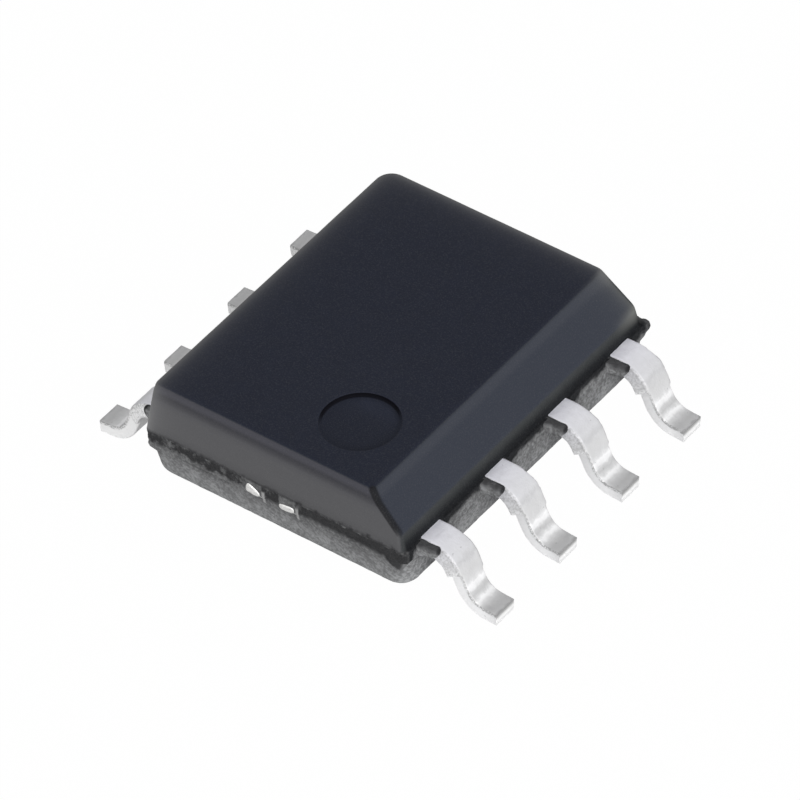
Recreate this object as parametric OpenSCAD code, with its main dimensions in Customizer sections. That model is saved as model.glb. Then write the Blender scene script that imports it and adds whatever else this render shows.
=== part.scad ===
// Eight-lead small-outline chip package, 1.27 mm pitch, with the frame and chip moulded inside it.
// Millimetres. Z is up, the board lies at z = 0 and the origin is under the middle of the package.
// Leads 1 to 4 run along the -X side from +Y to -Y, leads 5 to 8 along the +X side from -Y to +Y.

/* [Package body] */
// Length of the upper half at the parting level, along Y
body_length = 4.90; // [4.80:0.01:5.20]
// Width of the upper half at the parting level, along X
body_width = 3.87; // [3.70:0.01:3.96]
// Resin above the lead frame
upper_height = 0.73; // [0.62:0.01:0.90]
// Resin below the lead frame
lower_height = 0.53; // [0.45:0.01:0.70]
// Gap between the underside and the board
stand_off = 0.20; // [0.10:0.01:0.25]
// Slope of the upper half's long side walls from the vertical, degrees
side_draft = 7; // [3:0.5:10]
// Slope of the upper half's end walls from the vertical, degrees
end_draft = 9.5; // [3:0.5:12]
// Slope of the lower half's walls from the vertical, degrees
lower_draft = 8; // [3:0.5:12]
// How far the upper half sits towards +Y of the lower half, from the fit of the two mould halves
upper_offset = 0.02; // [0:0.005:0.05]
// How far the lower half is wider than the upper half on each long side
lower_ledge = 0.045; // [0.03:0.005:0.08]
// How far the lower half is longer than the upper half at each end
end_ledge = 0.02; // [0.02:0.005:0.06]
// How far the parting band is longer than the upper half at each end
band_ledge = 0.015; // [0.005:0.001:0.015]
// How far the parting band is set in from the lower half on each long side
band_inset = 0.01; // [0.005:0.005:0.02]
// Rounding of the upper half's edges
upper_round = 0.09; // [0.04:0.01:0.12]
// Radius of the upper half's and the band's corners, seen from above
upper_corner = 0.15; // [0.14:0.01:0.24]
// Rounding of the lower half's bottom edges
lower_round = 0.17; // [0.08:0.01:0.20]
// Radius of the lower half's corners, seen from above
lower_corner = 0.34; // [0.24:0.01:0.40]

/* [Bevel on the side of lead 1] */
// Height of the bevel, measured down from the top face
bevel_height = 0.46; // [0.30:0.01:0.52]
// Slope of the bevel from the horizontal, degrees
bevel_angle = 45; // [38:1:55]

/* [Index dimple] */
// Diameter of the dimple near lead 1
dimple_diameter = 0.99; // [0.60:0.01:1.20]
// Depth of the dimple's flat floor
dimple_depth = 0.06; // [0.03:0.01:0.12]
// Dimple's centre from the end edge of the top face
dimple_from_end = 0.85; // [0.70:0.01:1.10]
// Dimple's centre from the bevel's upper edge
dimple_from_bevel = 0.81; // [0.70:0.01:1.10]

/* [Leads] */
// Spacing of the leads along each side
lead_pitch = 1.27; // [1.24:0.01:1.30]
// Distance between the lead tips of the two rows
lead_span = 6.00; // [5.90:0.01:6.20]
// Thickness of the lead frame
lead_thickness = 0.18; // [0.15:0.01:0.20]
// Width of a lead outside the body
lead_width = 0.36; // [0.31:0.01:0.42]
// Slope of the leg between the two bends, degrees from the horizontal
leg_angle = 68; // [60:1:75]
// Downward slope of the foot, degrees
foot_angle = 4; // [0:0.5:8]
// Length of the foot past its bend
foot_length = 0.17; // [0.12:0.01:0.26]
// Radius of the shoulder bend at the middle of the metal
shoulder_radius = 0.33; // [0.24:0.01:0.36]
// Radius of the foot bend at the middle of the metal
foot_radius = 0.36; // [0.26:0.01:0.38]

/* [Resin stubs beside the leads] */
// How far the stubs of leads 1 to 4 reach out past the parting band
stub_reach = 0.30; // [0.10:0.01:0.34]
// How far the stubs of leads 5 to 8 reach out past the parting band
far_stub_reach = 0.22; // [0.10:0.01:0.34]
// Width of each stub along the row
stub_width = 0.10; // [0.08:0.01:0.16]

/* [Frame inside the body] */
// Length of the chip paddle along Y
pad_length = 2.80; // [2.50:0.01:2.95]
// Width of the chip paddle along X
pad_width = 2.10; // [1.90:0.01:2.30]
// How far the paddle is set down below the leads
pad_downset = 0.15; // [0.05:0.01:0.20]
// Length over which the tie bars slope down to the paddle
downset_run = 0.35; // [0.25:0.01:0.45]
// Spacing of the two tie bars at each end
tie_spacing = 0.50; // [0.40:0.01:0.60]
// Width of a tie bar
tie_width = 0.21; // [0.15:0.01:0.26]
// How far a cut tie bar end stands out of the parting band
tie_proud = 0.018; // [0.005:0.001:0.020]
// Gap between a finger's tip and the paddle or the tie bar beside it
finger_gap = 0.25; // [0.18:0.01:0.32]
// Width of a finger inside the body
finger_width = 0.40; // [0.36:0.01:0.46]
// Width of the finger's locking shoulders inside the body
anchor_width = 0.56; // [0.50:0.01:0.62]
// Depth of the locking shoulders inside the body wall
anchor_depth = 0.24; // [0.18:0.01:0.28]
// Length of the locking shoulders
anchor_length = 0.18; // [0.12:0.01:0.20]

/* [Chip inside the body] */
// Length of the chip along Y
die_length = 1.90; // [1.50:0.01:2.30]
// Width of the chip along X
die_width = 1.50; // [1.20:0.01:1.80]
// Thickness of the chip
die_thickness = 0.25; // [0.15:0.01:0.30]
// Thickness of the adhesive under the chip
attach_thickness = 0.03; // [0.02:0.005:0.05]
// How far the adhesive spreads past the chip
attach_margin = 0.05; // [0.02:0.005:0.08]

/* [Bond wires] */
// Diameter of a bond wire
wire_diameter = 0.05; // [0.03:0.005:0.06]
// Rise of a wire's loop above the line between its ends
loop_height = 0.22; // [0.15:0.01:0.28]
// Distance of a wire's foot from the chip's edge
bond_inset = 0.15; // [0.10:0.01:0.20]
// Distance of a wire's far end from the finger's tip
stitch_inset = 0.14; // [0.10:0.01:0.20]

/* [Hidden] */

round_fn = 32;          // facets of the rounded edges
dimple_fn = 96;         // facets of the dimple
bend_steps = 16;        // flats along each bend of a lead
wire_sides = 8;         // facets around a wire
wire_rings = 13;        // rings along a wire
row_count = 4;          // leads in one row
seat = 0.02;            // how far joined solids reach into each other
slack = 1;              // cutting blocks reach this far past what they trim

// Levels, from the board up
frame_bottom = stand_off + lower_height;
frame_top = frame_bottom + lead_thickness;
body_top = frame_top + upper_height;
pad_top = frame_top - pad_downset;
die_bottom = pad_top + attach_thickness;
die_top = die_bottom + die_thickness;

// Half sizes of the outlines
upper_half_x = body_width/2;
upper_half_y = body_length/2;
lower_half_x = upper_half_x + lower_ledge;
lower_half_y = upper_half_y + end_ledge;
band_half_x = lower_half_x - band_inset;
band_half_y = upper_half_y + band_ledge;

// Where the bevel meets the side wall and the top face, as distances from the middle
bevel_base_z = body_top - bevel_height;
bevel_base_x = upper_half_x - (bevel_base_z - frame_top)*tan(side_draft);
bevel_edge_x = bevel_base_x - bevel_height/tan(bevel_angle);
top_end_y = upper_half_y - upper_height*tan(end_draft);
top_side_x = upper_half_x - upper_height*tan(side_draft);

// Tapered stretch between two widths of a finger
finger_taper = 0.08;

// Lead profile at the middle of the metal: the foot's two ends, then the fall from the frame to the heel
foot_rise = lead_thickness/2*cos(foot_angle);
tip_x = lead_span/2 - lead_thickness/2*sin(foot_angle);
heel_x = tip_x - foot_length*cos(foot_angle);
heel_z = foot_rise + foot_length*sin(foot_angle);
lead_middle = frame_top - lead_thickness/2;
lead_fall = lead_middle - heel_z;

// Run and fall that the two bends take at their full radii
bends_run = shoulder_radius*sin(leg_angle) + foot_radius*(sin(leg_angle) - sin(foot_angle));
bends_fall = shoulder_radius*(1 - cos(leg_angle)) + foot_radius*(cos(foot_angle) - cos(leg_angle));

// Share of the radii for which there is room, so that the shoulder starts outside the body
sharp_shoulder_x = heel_x - lead_fall/tan(leg_angle);
bend_share = min(1, (sharp_shoulder_x - band_half_x - seat)/(bends_run - bends_fall/tan(leg_angle)));
shoulder_bend = bend_share*shoulder_radius;
foot_bend = bend_share*foot_radius;
shoulder_x = sharp_shoulder_x - bend_share*(bends_run - bends_fall/tan(leg_angle));

// Finger tips, as distances from the middle
inner_tip_x = pad_width/2 + finger_gap;
outer_tip_x = (tie_spacing + tie_width)/2 + finger_gap;

// Side of the package that a lead is on, its place along the row, and whether it ends the row
function lead_side(n) = n <= row_count ? -1 : 1;
function lead_y(n) = lead_pitch*(n <= row_count ? (row_count + 1)/2 - n : n - row_count - (row_count + 1)/2);
function ends_row(n) = abs(lead_y(n)) > lead_pitch;
function finger_tip_x(n) = ends_row(n) ? outer_tip_x : inner_tip_x;

// Middle of a circle of radius r that touches two faces meeting at p, with outward normals n1 and n2
function round_in_edge(p, n1, n2, r) = p - r*(n1 + n2)/(1 + n1*n2);

// Y of that circle's middle at height z, for an end wall that is y0 out at height z0 and leans by the draft
function round_end_y(y0, z0, z, r, draft) = y0 - ((z - z0)*sin(draft) + r)/cos(draft);

// Discs at both ends of the package, for a hull: rims rounded by r, and of radius `corner` from above
module end_discs(x, z, y0, z0, r, corner, draft) {
  inset = corner - r;
  rim = [for (i = [-round_fn/4 : round_fn/4]) let (a = 360*i/round_fn) [inset + r*cos(a), r*sin(a)]];
  for (end = [-1, 1])
    translate([x - sign(x)*inset, end*(round_end_y(y0, z0, z, r, draft) - inset), z])
      rotate_extrude($fn = round_fn) polygon(concat([[0, -r]], rim, [[0, r]]));
}

// Block that fills everything from z1 to z2
module slab(z1, z2) {
  translate([-lead_span/2, -body_length, z1]) cube([lead_span, 2*body_length, z2 - z1]);
}

// Upper half: sloped walls, flat top and the bevel on the -X side
module upper_half() {
  wall = [cos(side_draft), sin(side_draft)];
  bevel = [sin(bevel_angle), cos(bevel_angle)];
  up = [0, 1];
  top_edge = round_in_edge([top_side_x, body_top], wall, up, upper_round);
  bevel_top = round_in_edge([bevel_edge_x, body_top], bevel, up, upper_round);
  bevel_foot = round_in_edge([bevel_base_x, bevel_base_z], wall, bevel, upper_round);
  foot_x = upper_half_x - upper_round/cos(side_draft);
  translate([0, upper_offset, 0]) intersection() {
    hull() {
      for (place = [[foot_x, frame_top], [-foot_x, frame_top], top_edge,
                    [-bevel_top[0], bevel_top[1]], [-bevel_foot[0], bevel_foot[1]]])
        end_discs(place[0], place[1], upper_half_y, frame_top, upper_round, upper_corner, end_draft);
    }
    slab(frame_top - seat, body_top + slack);
  }
}

// Rough band at the level of the lead frame, with round corners
module parting_band() {
  inner_x = band_half_x - upper_corner;
  inner_y = band_half_y - upper_corner;
  translate([0, 0, frame_bottom]) linear_extrude(height = lead_thickness) {
    translate([-inner_x, -band_half_y]) square([2*inner_x, 2*band_half_y]);
    translate([-band_half_x, -inner_y]) square([2*band_half_x, 2*inner_y]);
    for (x = [-1, 1], y = [-1, 1])
      translate([x*inner_x, y*inner_y]) circle(r = upper_corner, $fn = round_fn);
  }
}

// Lower half: a little larger, drawn in towards the underside, with round corners
module lower_half() {
  wall = [cos(lower_draft), -sin(lower_draft)];
  down = [0, -1];
  base_x = lower_half_x - lower_height*tan(lower_draft);
  bottom_edge = round_in_edge([base_x, stand_off], wall, down, lower_round);
  head = [lower_half_x - lower_round/cos(lower_draft), frame_bottom];
  intersection() {
    hull() {
      for (side = [-1, 1], place = [head, bottom_edge])
        end_discs(side*place[0], place[1], lower_half_y, frame_bottom, lower_round, lower_corner, -lower_draft);
    }
    slab(0, frame_bottom);
  }
}

// Resin left beside lead n, where the bar between the leads was cut away
module resin_stub(n) {
  tip_x = band_half_x + (n <= row_count ? stub_reach : far_stub_reach);
  chamfer = 0.4*stub_width;
  translate([0, lead_y(n) + lead_width/2, frame_bottom]) scale([lead_side(n), 1, 1])
    linear_extrude(height = lead_thickness)
      polygon([[band_half_x - stub_width, 0], [tip_x, 0], [tip_x, stub_width - chamfer],
               [tip_x - chamfer, stub_width], [band_half_x + 0.4*stub_width, stub_width],
               [band_half_x - stub_width, 1.7*stub_width]]);
}

module index_dimple() {
  translate([-(bevel_edge_x - dimple_from_bevel), upper_offset + top_end_y - dimple_from_end,
             body_top - dimple_depth])
    cylinder(d = dimple_diameter, h = dimple_depth + slack, $fn = dimple_fn);
}

// Everything that the resin flows around
module moulded_in() {
  for (n = [1 : 2*row_count]) {
    lead_inside(n);
    wire(n, seat/2);
  }
  paddle();
  chip();
  adhesive();
}

module package_body() {
  color("#2a2b31") difference() {
    union() {
      upper_half();
      parting_band();
      lower_half();
      for (n = [1 : 2*row_count]) resin_stub(n);
    }
    index_dimple();
    moulded_in();
  }
}

// Finger inside the body with its locking shoulders, and the straight start of the lead outside it
module lead_inside(n) {
  tip = finger_tip_x(n);
  anchor_in = max(tip + 2*finger_taper, band_half_x - anchor_depth - anchor_length);
  anchor_out = anchor_in + anchor_length;
  half_profile = [[tip, finger_width/2],
                  [anchor_in - finger_taper, finger_width/2],
                  [anchor_in, anchor_width/2],
                  [anchor_out, anchor_width/2],
                  [anchor_out + finger_taper, lead_width/2],
                  [shoulder_x, lead_width/2]];
  other_half = [for (i = [len(half_profile) - 1 : -1 : 0]) [half_profile[i][0], -half_profile[i][1]]];
  translate([0, lead_y(n), frame_bottom]) scale([lead_side(n), 1, 1])
    linear_extrude(height = lead_thickness) polygon(concat(half_profile, other_half));
}

// Centre line of the lead outside the straight start, as [x, z, downward slope]: bend, leg, bend, foot
lead_line =
  [[shoulder_x - seat, lead_middle, 0],
   for (i = [0 : bend_steps]) let (a = i/bend_steps*leg_angle)
     [shoulder_x + shoulder_bend*sin(a), lead_middle - shoulder_bend*(1 - cos(a)), a],
   for (i = [bend_steps : -1 : 0]) let (a = foot_angle + i/bend_steps*(leg_angle - foot_angle))
     [heel_x - foot_bend*(sin(a) - sin(foot_angle)), heel_z + foot_bend*(cos(foot_angle) - cos(a)), a],
   [tip_x, foot_rise, foot_angle]];

// Side view of the lead outside the straight start
module lead_side_view() {
  half = lead_thickness/2;
  top = [for (p = lead_line) [p[0] + half*sin(p[2]), p[1] + half*cos(p[2])]];
  under = [for (i = [len(lead_line) - 1 : -1 : 0]) let (p = lead_line[i])
    [p[0] - half*sin(p[2]), p[1] - half*cos(p[2])]];
  polygon(concat(top, under));
}

// One lead: its finger in the resin and its gull-wing outside it
module lead(n) {
  color("#c9cbd0") union() {
    lead_inside(n);
    translate([0, lead_y(n), 0]) scale([lead_side(n), 1, 1]) rotate([90, 0, 0])
      linear_extrude(height = lead_width, center = true) lead_side_view();
  }
}

// Tie bar from the paddle out to the end of the package, in side view
module tie_bar_view() {
  start = pad_length/2 - seat;
  end = band_half_y + tie_proud;
  line = [[start, pad_top], [pad_length/2, pad_top], [pad_length/2 + downset_run, frame_top], [end, frame_top]];
  under = [for (i = [len(line) - 1 : -1 : 0]) line[i] - [0, lead_thickness]];
  polygon(concat(line, under));
}

module paddle() {
  translate([-pad_width/2, -pad_length/2, pad_top - lead_thickness])
    cube([pad_width, pad_length, lead_thickness]);
  for (x = [-1, 1], end = [-1, 1])
    translate([x*tie_spacing/2, 0, 0]) scale([1, end, 1]) rotate([90, 0, 90])
      linear_extrude(height = tie_width, center = true) tie_bar_view();
}

module adhesive() {
  translate([-die_width/2 - attach_margin, -die_length/2 - attach_margin, pad_top])
    cube([die_width + 2*attach_margin, die_length + 2*attach_margin, attach_thickness]);
}

module chip() {
  translate([-die_width/2, -die_length/2, die_bottom]) cube([die_width, die_length, die_thickness]);
}

module die_pad() {
  color("#b87e55") union() paddle();
}

module die_attach() {
  color("#d8d4c4") adhesive();
}

module die() {
  color("#5a6275") chip();
}

// Ends of wire n: on the chip, and on its finger
function wire_start(n) = ends_row(n)
  ? [lead_side(n)*0.55*die_width/2, sign(lead_y(n))*(die_length/2 - bond_inset), die_top]
  : [lead_side(n)*(die_width/2 - bond_inset), 0.55*lead_y(n), die_top];
function wire_end(n) = [lead_side(n)*(finger_tip_x(n) + stitch_inset), lead_y(n), frame_top];

// Point and direction of a loop that leaves and lands upright; u runs from 0 to 1
function loop_point(a, b, u) =
  let (along = (1 - cos(180*u))/2)
  [a[0] + (b[0] - a[0])*along, a[1] + (b[1] - a[1])*along,
   a[2] + (b[2] - a[2])*u + loop_height*sin(180*u)];
function loop_heading(a, b, u) =
  let (along = sin(180*u)*PI/2, rise = b[2] - a[2] + loop_height*PI*cos(180*u))
  [(b[0] - a[0])*along, (b[1] - a[1])*along, rise];
function unit(v) = v/norm(v);

// One ring of a wire's skin: across is level and square to the wire, and lift is square to both
function wire_ring(middle, across, heading) =
  let (lift = cross(across, unit(heading)))
  [for (k = [0 : wire_sides - 1])
    middle + wire_diameter/2*(cos(360*k/wire_sides)*across + sin(360*k/wire_sides)*lift)];

// Bond wire n; sink carries both ends that much deeper, for cutting its place in the resin
module wire(n, sink = 0) {
  a = wire_start(n);
  b = wire_end(n);
  across = unit([b[1] - a[1], a[0] - b[0], 0]);
  rings = [
    if (sink > 0) wire_ring(a - [0, 0, sink], across, [0, 0, 1]),
    wire_ring(a, across, [0, 0, 1]),
    for (i = [1 : wire_rings - 2])
      wire_ring(loop_point(a, b, i/(wire_rings - 1)), across, loop_heading(a, b, i/(wire_rings - 1))),
    wire_ring(b, across, [0, 0, -1]),
    if (sink > 0) wire_ring(b - [0, 0, sink], across, [0, 0, -1])];
  last = len(rings) - 1;
  points = [for (ring = rings, p = ring) p];
  sides = [for (i = [0 : last - 1], k = [0 : wire_sides - 1])
    let (p = i*wire_sides + k, q = i*wire_sides + (k + 1) % wire_sides)
    each [[p, q, q + wire_sides], [p, q + wire_sides, p + wire_sides]]];
  start_cap = [for (k = [wire_sides - 1 : -1 : 0]) k];
  end_cap = [for (k = [0 : wire_sides - 1]) last*wire_sides + k];
  polyhedron(points, concat([start_cap], sides, [end_cap]));
}

module bond_wire(n) {
  color("#c98f5a") wire(n);
}

package_body();
lead(1);  // lead_1
lead(2);  // lead_2
lead(3);  // lead_3
lead(4);  // lead_4
lead(5);  // lead_5
lead(6);  // lead_6
lead(7);  // lead_7
lead(8);  // lead_8
die_pad();
die_attach();
die();
bond_wire(1);  // bond_wire_1
bond_wire(2);  // bond_wire_2
bond_wire(3);  // bond_wire_3
bond_wire(4);  // bond_wire_4
bond_wire(5);  // bond_wire_5
bond_wire(6);  // bond_wire_6
bond_wire(7);  // bond_wire_7
bond_wire(8);  // bond_wire_8
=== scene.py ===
import math

import bpy
import numpy as np
from mathutils import Matrix, Vector, noise

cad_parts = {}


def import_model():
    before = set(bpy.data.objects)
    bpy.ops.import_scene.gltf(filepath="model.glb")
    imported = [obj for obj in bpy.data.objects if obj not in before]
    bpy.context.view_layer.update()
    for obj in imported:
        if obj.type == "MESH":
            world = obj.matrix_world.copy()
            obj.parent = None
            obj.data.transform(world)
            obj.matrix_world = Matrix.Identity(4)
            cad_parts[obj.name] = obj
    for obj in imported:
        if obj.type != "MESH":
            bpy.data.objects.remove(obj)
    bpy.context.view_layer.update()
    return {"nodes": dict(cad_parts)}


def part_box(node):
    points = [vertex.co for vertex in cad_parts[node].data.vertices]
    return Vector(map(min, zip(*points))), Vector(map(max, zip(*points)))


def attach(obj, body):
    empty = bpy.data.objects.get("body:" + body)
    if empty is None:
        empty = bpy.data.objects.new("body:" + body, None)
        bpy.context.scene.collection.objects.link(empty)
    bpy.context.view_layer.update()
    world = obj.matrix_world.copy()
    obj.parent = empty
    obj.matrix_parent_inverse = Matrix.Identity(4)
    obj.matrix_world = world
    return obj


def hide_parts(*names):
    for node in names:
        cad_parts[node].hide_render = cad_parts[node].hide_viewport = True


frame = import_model()

# ---------------------------------------------------------------- sizes, in millimetres

MM = 0.001
ROW = 4                                  # leads on one side
LEADS = range(1, 2*ROW + 1)

BODY_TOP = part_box("package_body")[1].z/MM
BODY_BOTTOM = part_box("package_body")[0].z/MM
LEAD_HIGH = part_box("lead_8")[1]/MM       # X of its tip and Z of its top
TIE_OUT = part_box("die_pad")[1].y/MM      # where the cut tie bars end

METAL = 0.18                             # thickness of the lead frame
SPAN = LEAD_HIGH[0]*2
LEAD_WIDTH, LEAD_PITCH = 0.36, 1.27
LEAD_Y = LEAD_PITCH*(ROW - 1)/2          # leads 1 and 8
FRAME_TOP = LEAD_HIGH[2]
FRAME_BOTTOM = FRAME_TOP - METAL
TIE_X = 0.25                             # middle of a tie bar, to either side

UPPER_X, UPPER_Y = 1.935, 2.45           # half sizes at the parting level
BAND_X, BAND_Y = 1.97, 2.465
LOWER_X, LOWER_Y = 1.98, 2.47
UPPER_SHIFT = 0.02                       # upper half towards +Y
# Corner radii seen from above, of the corners at +X +Y, -X +Y, -X -Y and +X -Y
UPPER_CORNERS = np.array((0.05, 0.06, 0.15, 0.24))               # at the parting level
TOP_CORNERS = UPPER_CORNERS + np.array((0.07, 0, -0.02, 0))      # at the top
BAND_CORNERS = np.array((0.13, 0.10, 0.10, 0.15))
LOWER_CORNER = 0.27
TOP_ROUND, BASE_ROUND = 0.09, 0.17
SIDE_DRAFT, END_DRAFT, LOWER_DRAFT = (math.radians(a) for a in (7, 9.5, 8))

BEVEL_HEIGHT = 0.46
BEVEL_FOOT = (UPPER_X - (BODY_TOP - BEVEL_HEIGHT - FRAME_TOP)*math.tan(SIDE_DRAFT),
              BODY_TOP - BEVEL_HEIGHT)
BEVEL_HEAD = (BEVEL_FOOT[0] - BEVEL_HEIGHT, BODY_TOP)
TOP_END = UPPER_Y - (BODY_TOP - FRAME_TOP)*math.tan(END_DRAFT)
# The +Y wall stands steeper up to a knee, and leans in more above it
KNEE_RISE, KNEE_ROUND, KNEE_DRAFT = 0.59, 0.25, math.radians(6)
END_KNEE = (UPPER_Y - KNEE_RISE*math.tan(KNEE_DRAFT), FRAME_TOP + KNEE_RISE)
DIMPLE_INSET = (0.815, 0.845)            # its centre from the bevel, and from the end of the top
DIMPLE = (DIMPLE_INSET[0] - BEVEL_HEAD[0], UPPER_SHIFT + TOP_END - DIMPLE_INSET[1])
DIMPLE_RADIUS = 0.503


def lead_side(n):
    return -1 if n <= ROW else 1


def lead_y(n):
    low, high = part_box(f"lead_{n}")
    return (low.y + high.y)/2/MM


# ---------------------------------------------------------------- shader fields and finishes

class Field:
    """An output of a shader node. Sums, products and powers of fields add their own Math nodes."""

    def __init__(self, finish, socket):
        self.finish, self.socket = finish, socket

    def calc(self, operation, *values):
        return self.finish.add("Math", {"operation": operation}, dict(enumerate(values)))

    def __add__(self, other):
        return self.calc("ADD", self, other)

    def __sub__(self, other):
        return self.calc("SUBTRACT", self, other)

    def __rsub__(self, other):
        return self.calc("SUBTRACT", other, self)

    def __mul__(self, other):
        return self.calc("MULTIPLY", self, other)

    def __rtruediv__(self, other):
        return self.calc("DIVIDE", other, self)

    def __pow__(self, other):
        return self.calc("POWER", self, other)

    def __abs__(self):
        return self.calc("ABSOLUTE", self)

    __radd__, __rmul__ = __add__, __mul__

    def most(self, other):
        return self.calc("MAXIMUM", self, other)

    def least(self, other):
        return self.calc("MINIMUM", self, other)

    def ramp(self, low, high):
        """0 where the field is at low, 1 where it is at high, and an easy curve between."""
        return self.finish.add("MapRange", {"interpolation_type": "SMOOTHSTEP"},
                               {"Value": self, "From Min": low, "From Max": high})

    def window(self, start, full, fall, end):
        """0 up to start, 1 from full to fall, and 0 from end on."""
        return self.ramp(start, full)*self.ramp(end, fall)

    def fade(self, sharpness):
        """1 where the field is 0, falling off softly to both sides."""
        return 1/(1 + (self*sharpness)**2)


class Finish:
    """A material, or the world, under construction."""

    def __init__(self, owner):
        owner.use_nodes = True
        self.owner, self.tree = owner, owner.node_tree
        self.tree.nodes.clear()

    def add(self, kind, settings=None, inputs=None, output=0):
        """One node of this type, its settings made first and then its sockets' values or links."""
        node = self.tree.nodes.new("ShaderNode" + kind)
        for key, value in (settings or {}).items():
            if key == "stops":
                ramp = node.color_ramp
                while len(ramp.elements) < len(value):
                    ramp.elements.new(0.5)
                for element, (at, colour) in zip(ramp.elements, value):
                    element.position, element.color = at, colour
            else:
                setattr(node, key, value)
        for key, value in (inputs or {}).items():
            if isinstance(value, Field):
                self.tree.links.new(value.socket, node.inputs[key])
            else:
                node.inputs[key].default_value = value
        return Field(self, node.outputs[output]) if len(node.outputs) else None

    def place(self):
        """Place on the object, in metres."""
        return self.add("TexCoord", output="Object")

    def axis(self, k):
        """Place on the object along X, Y or Z, in millimetres."""
        return self.add("SeparateXYZ", None, {0: self.place()}, k)*(1/MM)

    def grain(self, per_mm, detail, roughness=0.55):
        """Noise around 0.5, with so many lumps to the millimetre."""
        return self.add("TexNoise", None, {"Vector": self.place(), "Scale": per_mm/MM,
                                           "Detail": detail, "Roughness": roughness})

    def zone(self, name):
        """A value that the mesh carries."""
        return self.add("Attribute", {"attribute_name": name}, output="Fac")

    def blend(self, mask, first, second):
        """First colour where the mask is 0, second where it is 1."""
        return self.add("Mix", {"data_type": "RGBA"}, {0: mask, 6: first, 7: second}, output=2)

    def dim(self, colour, amount):
        """The colour times a number that changes over the surface."""
        return self.add("VectorMath", {"operation": "SCALE"}, {0: colour, "Scale": amount})

    def tones(self, field, *stops):
        """Colours along a field, each given with its place from 0 to 1."""
        return self.add("ValToRGB", {"stops": stops}, {"Fac": field})

    def bump(self, height, depth_mm, under=None):
        inputs = {"Height": height, "Distance": depth_mm*MM, "Strength": 1.0}
        if under:
            inputs["Normal"] = under
        return self.add("Bump", None, inputs)

    def surface(self, shader, output="OutputMaterial"):
        self.add(output, None, {"Surface": shader})
        return self.owner

    def plastic(self, **inputs):
        """Ends the material in a Principled shader."""
        named = {key.replace("_", " "): value for key, value in inputs.items()}
        return self.surface(self.add("BsdfPrincipled", None, named))


def new_finish(name):
    return Finish(bpy.data.materials.new(name))


def grey(value, blue=1.0):
    return (value, value, value*blue, 1.0)


# ---------------------------------------------------------------- mesh helpers

def lumps(points, per_mm, octaves, seed):
    """Smooth noise of about -1 to 1 at each point, with so many lumps to the millimetre."""
    shift = Vector((seed*17.31, seed*5.77, seed*9.13))
    return np.array([noise.fractal(Vector(p)*per_mm + shift, 1.0, 2.0, octaves) for p in points])


def ease(values, low, high):
    """0 at low, 1 at high, and an easy curve between."""
    share = np.clip((np.asarray(values) - low)/(high - low), 0, 1)
    return share*share*(3 - 2*share)


def near(points, spot, radius):
    """1 at the spot, falling to 0 at the radius."""
    return ease(np.linalg.norm((points - spot)/radius, axis=1), 1, 0)


def piece(name, points, faces, material, replaces=None, zones=None, smooth_angle=40):
    """A finished piece of the object from points in millimetres."""
    mesh = bpy.data.meshes.new(name)
    mesh.from_pydata([tuple(p) for p in points], [], faces)
    mesh.update()
    for key, values in (zones or {}).items():
        layer = mesh.attributes.new(key, "FLOAT", "POINT")
        layer.data.foreach_set("value", np.asarray(values, np.float32))
    mesh.transform(Matrix.Scale(MM, 4))
    mesh.shade_smooth()
    mesh.set_sharp_from_angle(angle=math.radians(smooth_angle))
    mesh.materials.append(material)
    obj = bpy.data.objects.new(name, mesh)
    bpy.context.scene.collection.objects.link(obj)
    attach(obj, "root")
    if replaces:
        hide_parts(replaces)


def skin(loops, inside_out=False):
    """Points and faces of a closed skin over a stack of loops that all have as many points."""
    loops = np.asarray(loops, float)
    count, around = loops.shape[:2]
    faces = []
    for i in range(count - 1):
        a, b = i*around, (i + 1)*around
        faces += [(a + k, a + (k + 1) % around, b + (k + 1) % around, b + k)
                  for k in range(around)]
    first, last, end = count*around, count*around + 1, (count - 1)*around
    faces += [((k + 1) % around, k, first) for k in range(around)]
    faces += [(end + k, end + (k + 1) % around, last) for k in range(around)]
    if inside_out:
        faces = [face[::-1] for face in faces]
    return np.concatenate([loops.reshape(-1, 3), [loops[0].mean(0), loops[-1].mean(0)]]), faces


def push(points, faces, amount):
    """Moves each point along the skin's own normal by its amount."""
    mesh = bpy.data.meshes.new("scratch")
    mesh.from_pydata([tuple(p) for p in points], [], faces)
    mesh.update()
    normals = np.zeros(len(points)*3)
    mesh.vertices.foreach_get("normal", normals)
    bpy.data.meshes.remove(mesh)
    return points + normals.reshape(-1, 3)*np.asarray(amount)[:, None]


def quarter(centre, radius, k, steps):
    """Points along the k-th quarter of a circle, counted from +X towards +Y."""
    turn = np.radians(90*k + np.linspace(0, 90, steps + 1))
    return np.array(centre) + radius*np.stack([np.cos(turn), np.sin(turn)], 1)


def join_quarters(arcs, *steps):
    """A closed ring of four quarters, and of straight runs that take the two counts in turn."""
    points = []
    for k, arc in enumerate(arcs):
        share = np.linspace(0, 1, steps[k % 2] + 1)[1:-1, None]
        points += [arc, arc[-1] + share*(arcs[(k + 1) % 4][0] - arc[-1])]
    return np.concatenate(points)


def round_corner(before, corner, after, radius, steps):
    """Points of the arc that rounds a corner of a line."""
    before, corner, after = map(np.array, (before, corner, after))
    u = (before - corner)/np.linalg.norm(before - corner)
    v = (after - corner)/np.linalg.norm(after - corner)
    half = math.acos(np.clip(u @ v, -1, 1))/2
    middle = corner + (u + v)/np.linalg.norm(u + v)*radius/math.sin(half)
    start, end = corner + u*radius/math.tan(half), corner + v*radius/math.tan(half)
    a, b = start - middle, end - middle
    sweep = math.acos(np.clip((a @ b)/radius**2, -1, 1))
    return [middle + (math.sin((1 - s)*sweep)*a + math.sin(s*sweep)*b)/math.sin(sweep)
            for s in np.linspace(0, 1, steps + 1)]


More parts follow.
